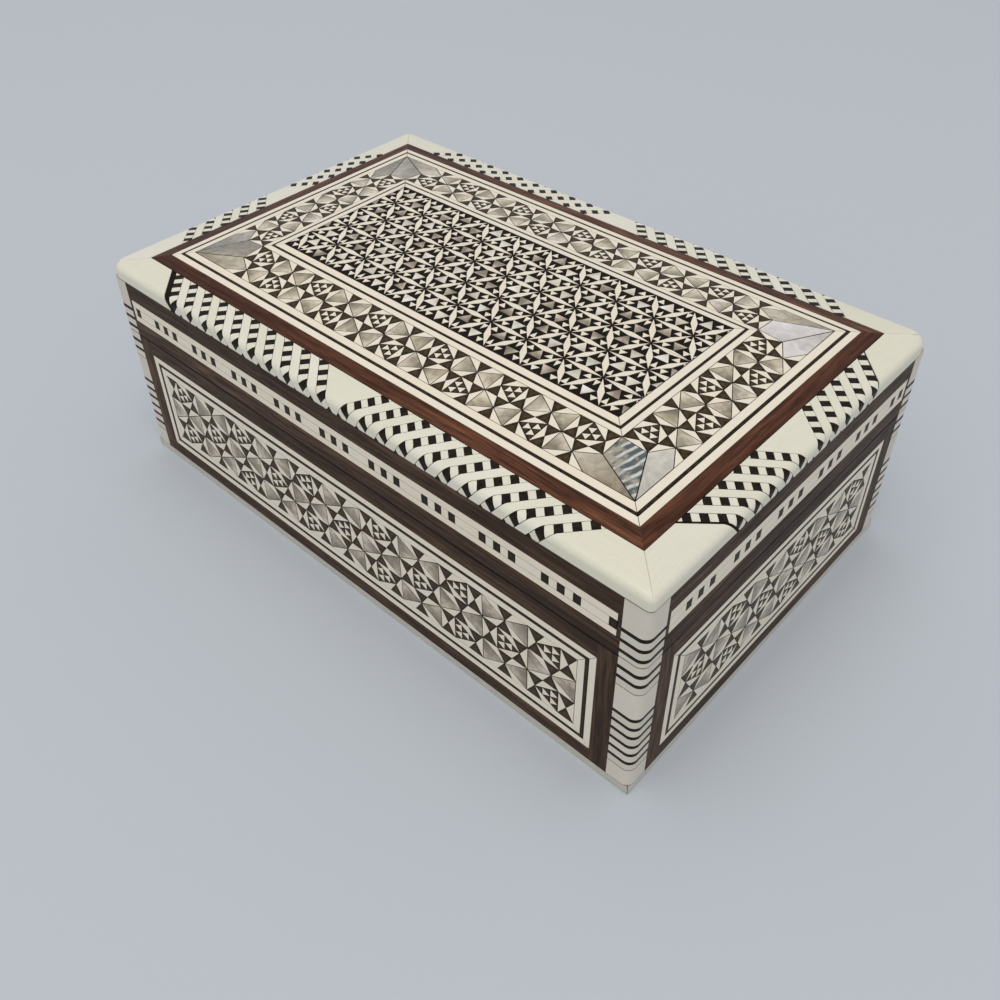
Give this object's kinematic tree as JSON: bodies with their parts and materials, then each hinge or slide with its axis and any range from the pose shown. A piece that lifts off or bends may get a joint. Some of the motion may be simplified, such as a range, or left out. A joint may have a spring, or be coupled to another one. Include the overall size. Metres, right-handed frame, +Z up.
{
  "type": "trinket box",
  "caption": "Rectangular hinged wooden trinket box covered with star mosaic and stringing in bone, horn and shell, with a low bevelled lid and a soft lining.",
  "frame": {"origin": "centre of the bounding box on the plane the box stands on", "axes": "+X along the long side, to the right of someone facing the front; +Z up; the hinges are on the +Y side and the front faces -Y"},
  "size_m": [0.16, 0.1032, 0.0602],
  "materials": {
    "carcass_wood": "bare, planed",
    "felt": "glued felt",
    "red_wood": "oiled, satin",
    "velvet": "short pile velvet",
    "dark_wood": "worn wax, satin",
    "hinge_brass": "aged brass",
    "mosaic": "polished bone, horn and shell pieces set in dark mastic",
    "bone": "polished bone"
  },
  "bodies": {
    "case": {"base_board": "carcass_wood", "base_cloth": "felt", "case_floor_pad": "velvet", "case_post_back_left": "bone", "case_post_back_right": "bone", "case_post_front_left": "bone", "case_post_front_right": "bone", "case_wall_back": "dark_wood", "case_wall_front": "dark_wood", "case_wall_left": "dark_wood", "case_wall_lining": "velvet", "case_wall_right": "dark_wood", "hinge_case_leaf_left": "hinge_brass", "hinge_case_leaf_right": "hinge_brass", "hinge_pin_left": "hinge_brass", "hinge_pin_right": "hinge_brass", "plinth_strip_back": "bone", "plinth_strip_front": "bone", "plinth_strip_left": "bone", "plinth_strip_right": "bone", "star_panel_back": "mosaic", "star_panel_front": "mosaic", "star_panel_left": "mosaic", "star_panel_right": "mosaic"},
    "lid": {"border_strip_back": "red_wood", "border_strip_front": "red_wood", "border_strip_left": "red_wood", "border_strip_right": "red_wood", "dash_band_back": "bone", "dash_band_front": "bone", "dash_band_left": "bone", "dash_band_right": "bone", "hinge_lid_leaf_left": "hinge_brass", "hinge_lid_leaf_right": "hinge_brass", "inner_stringing": "bone", "lid_board": "carcass_wood", "lid_lining": "velvet", "lid_post_back_left": "bone", "lid_post_back_right": "bone", "lid_post_front_left": "bone", "lid_post_front_right": "bone", "lid_rim_back": "dark_wood", "lid_rim_front": "dark_wood", "lid_rim_left": "dark_wood", "lid_rim_right": "dark_wood", "moulding_centre_back": "bone", "moulding_centre_front": "bone", "moulding_centre_left": "bone", "moulding_centre_right": "bone", "moulding_corner_back_left": "bone", "moulding_corner_back_right": "bone", "moulding_corner_front_left": "bone", "moulding_corner_front_right": "bone", "outer_stringing": "bone", "star_border": "mosaic", "star_field": "mosaic", "woven_moulding_back": "bone", "woven_moulding_front": "bone", "woven_moulding_left": "bone", "woven_moulding_right": "bone"}
  },
  "joints": [
    {"name": "lid_hinge", "type": "hinge", "parent": "case", "child": "lid", "pos_m": [0, 0.0502, 0.03845], "axis": [-1, 0, 0], "range_deg": [0, 105]}
  ]
}
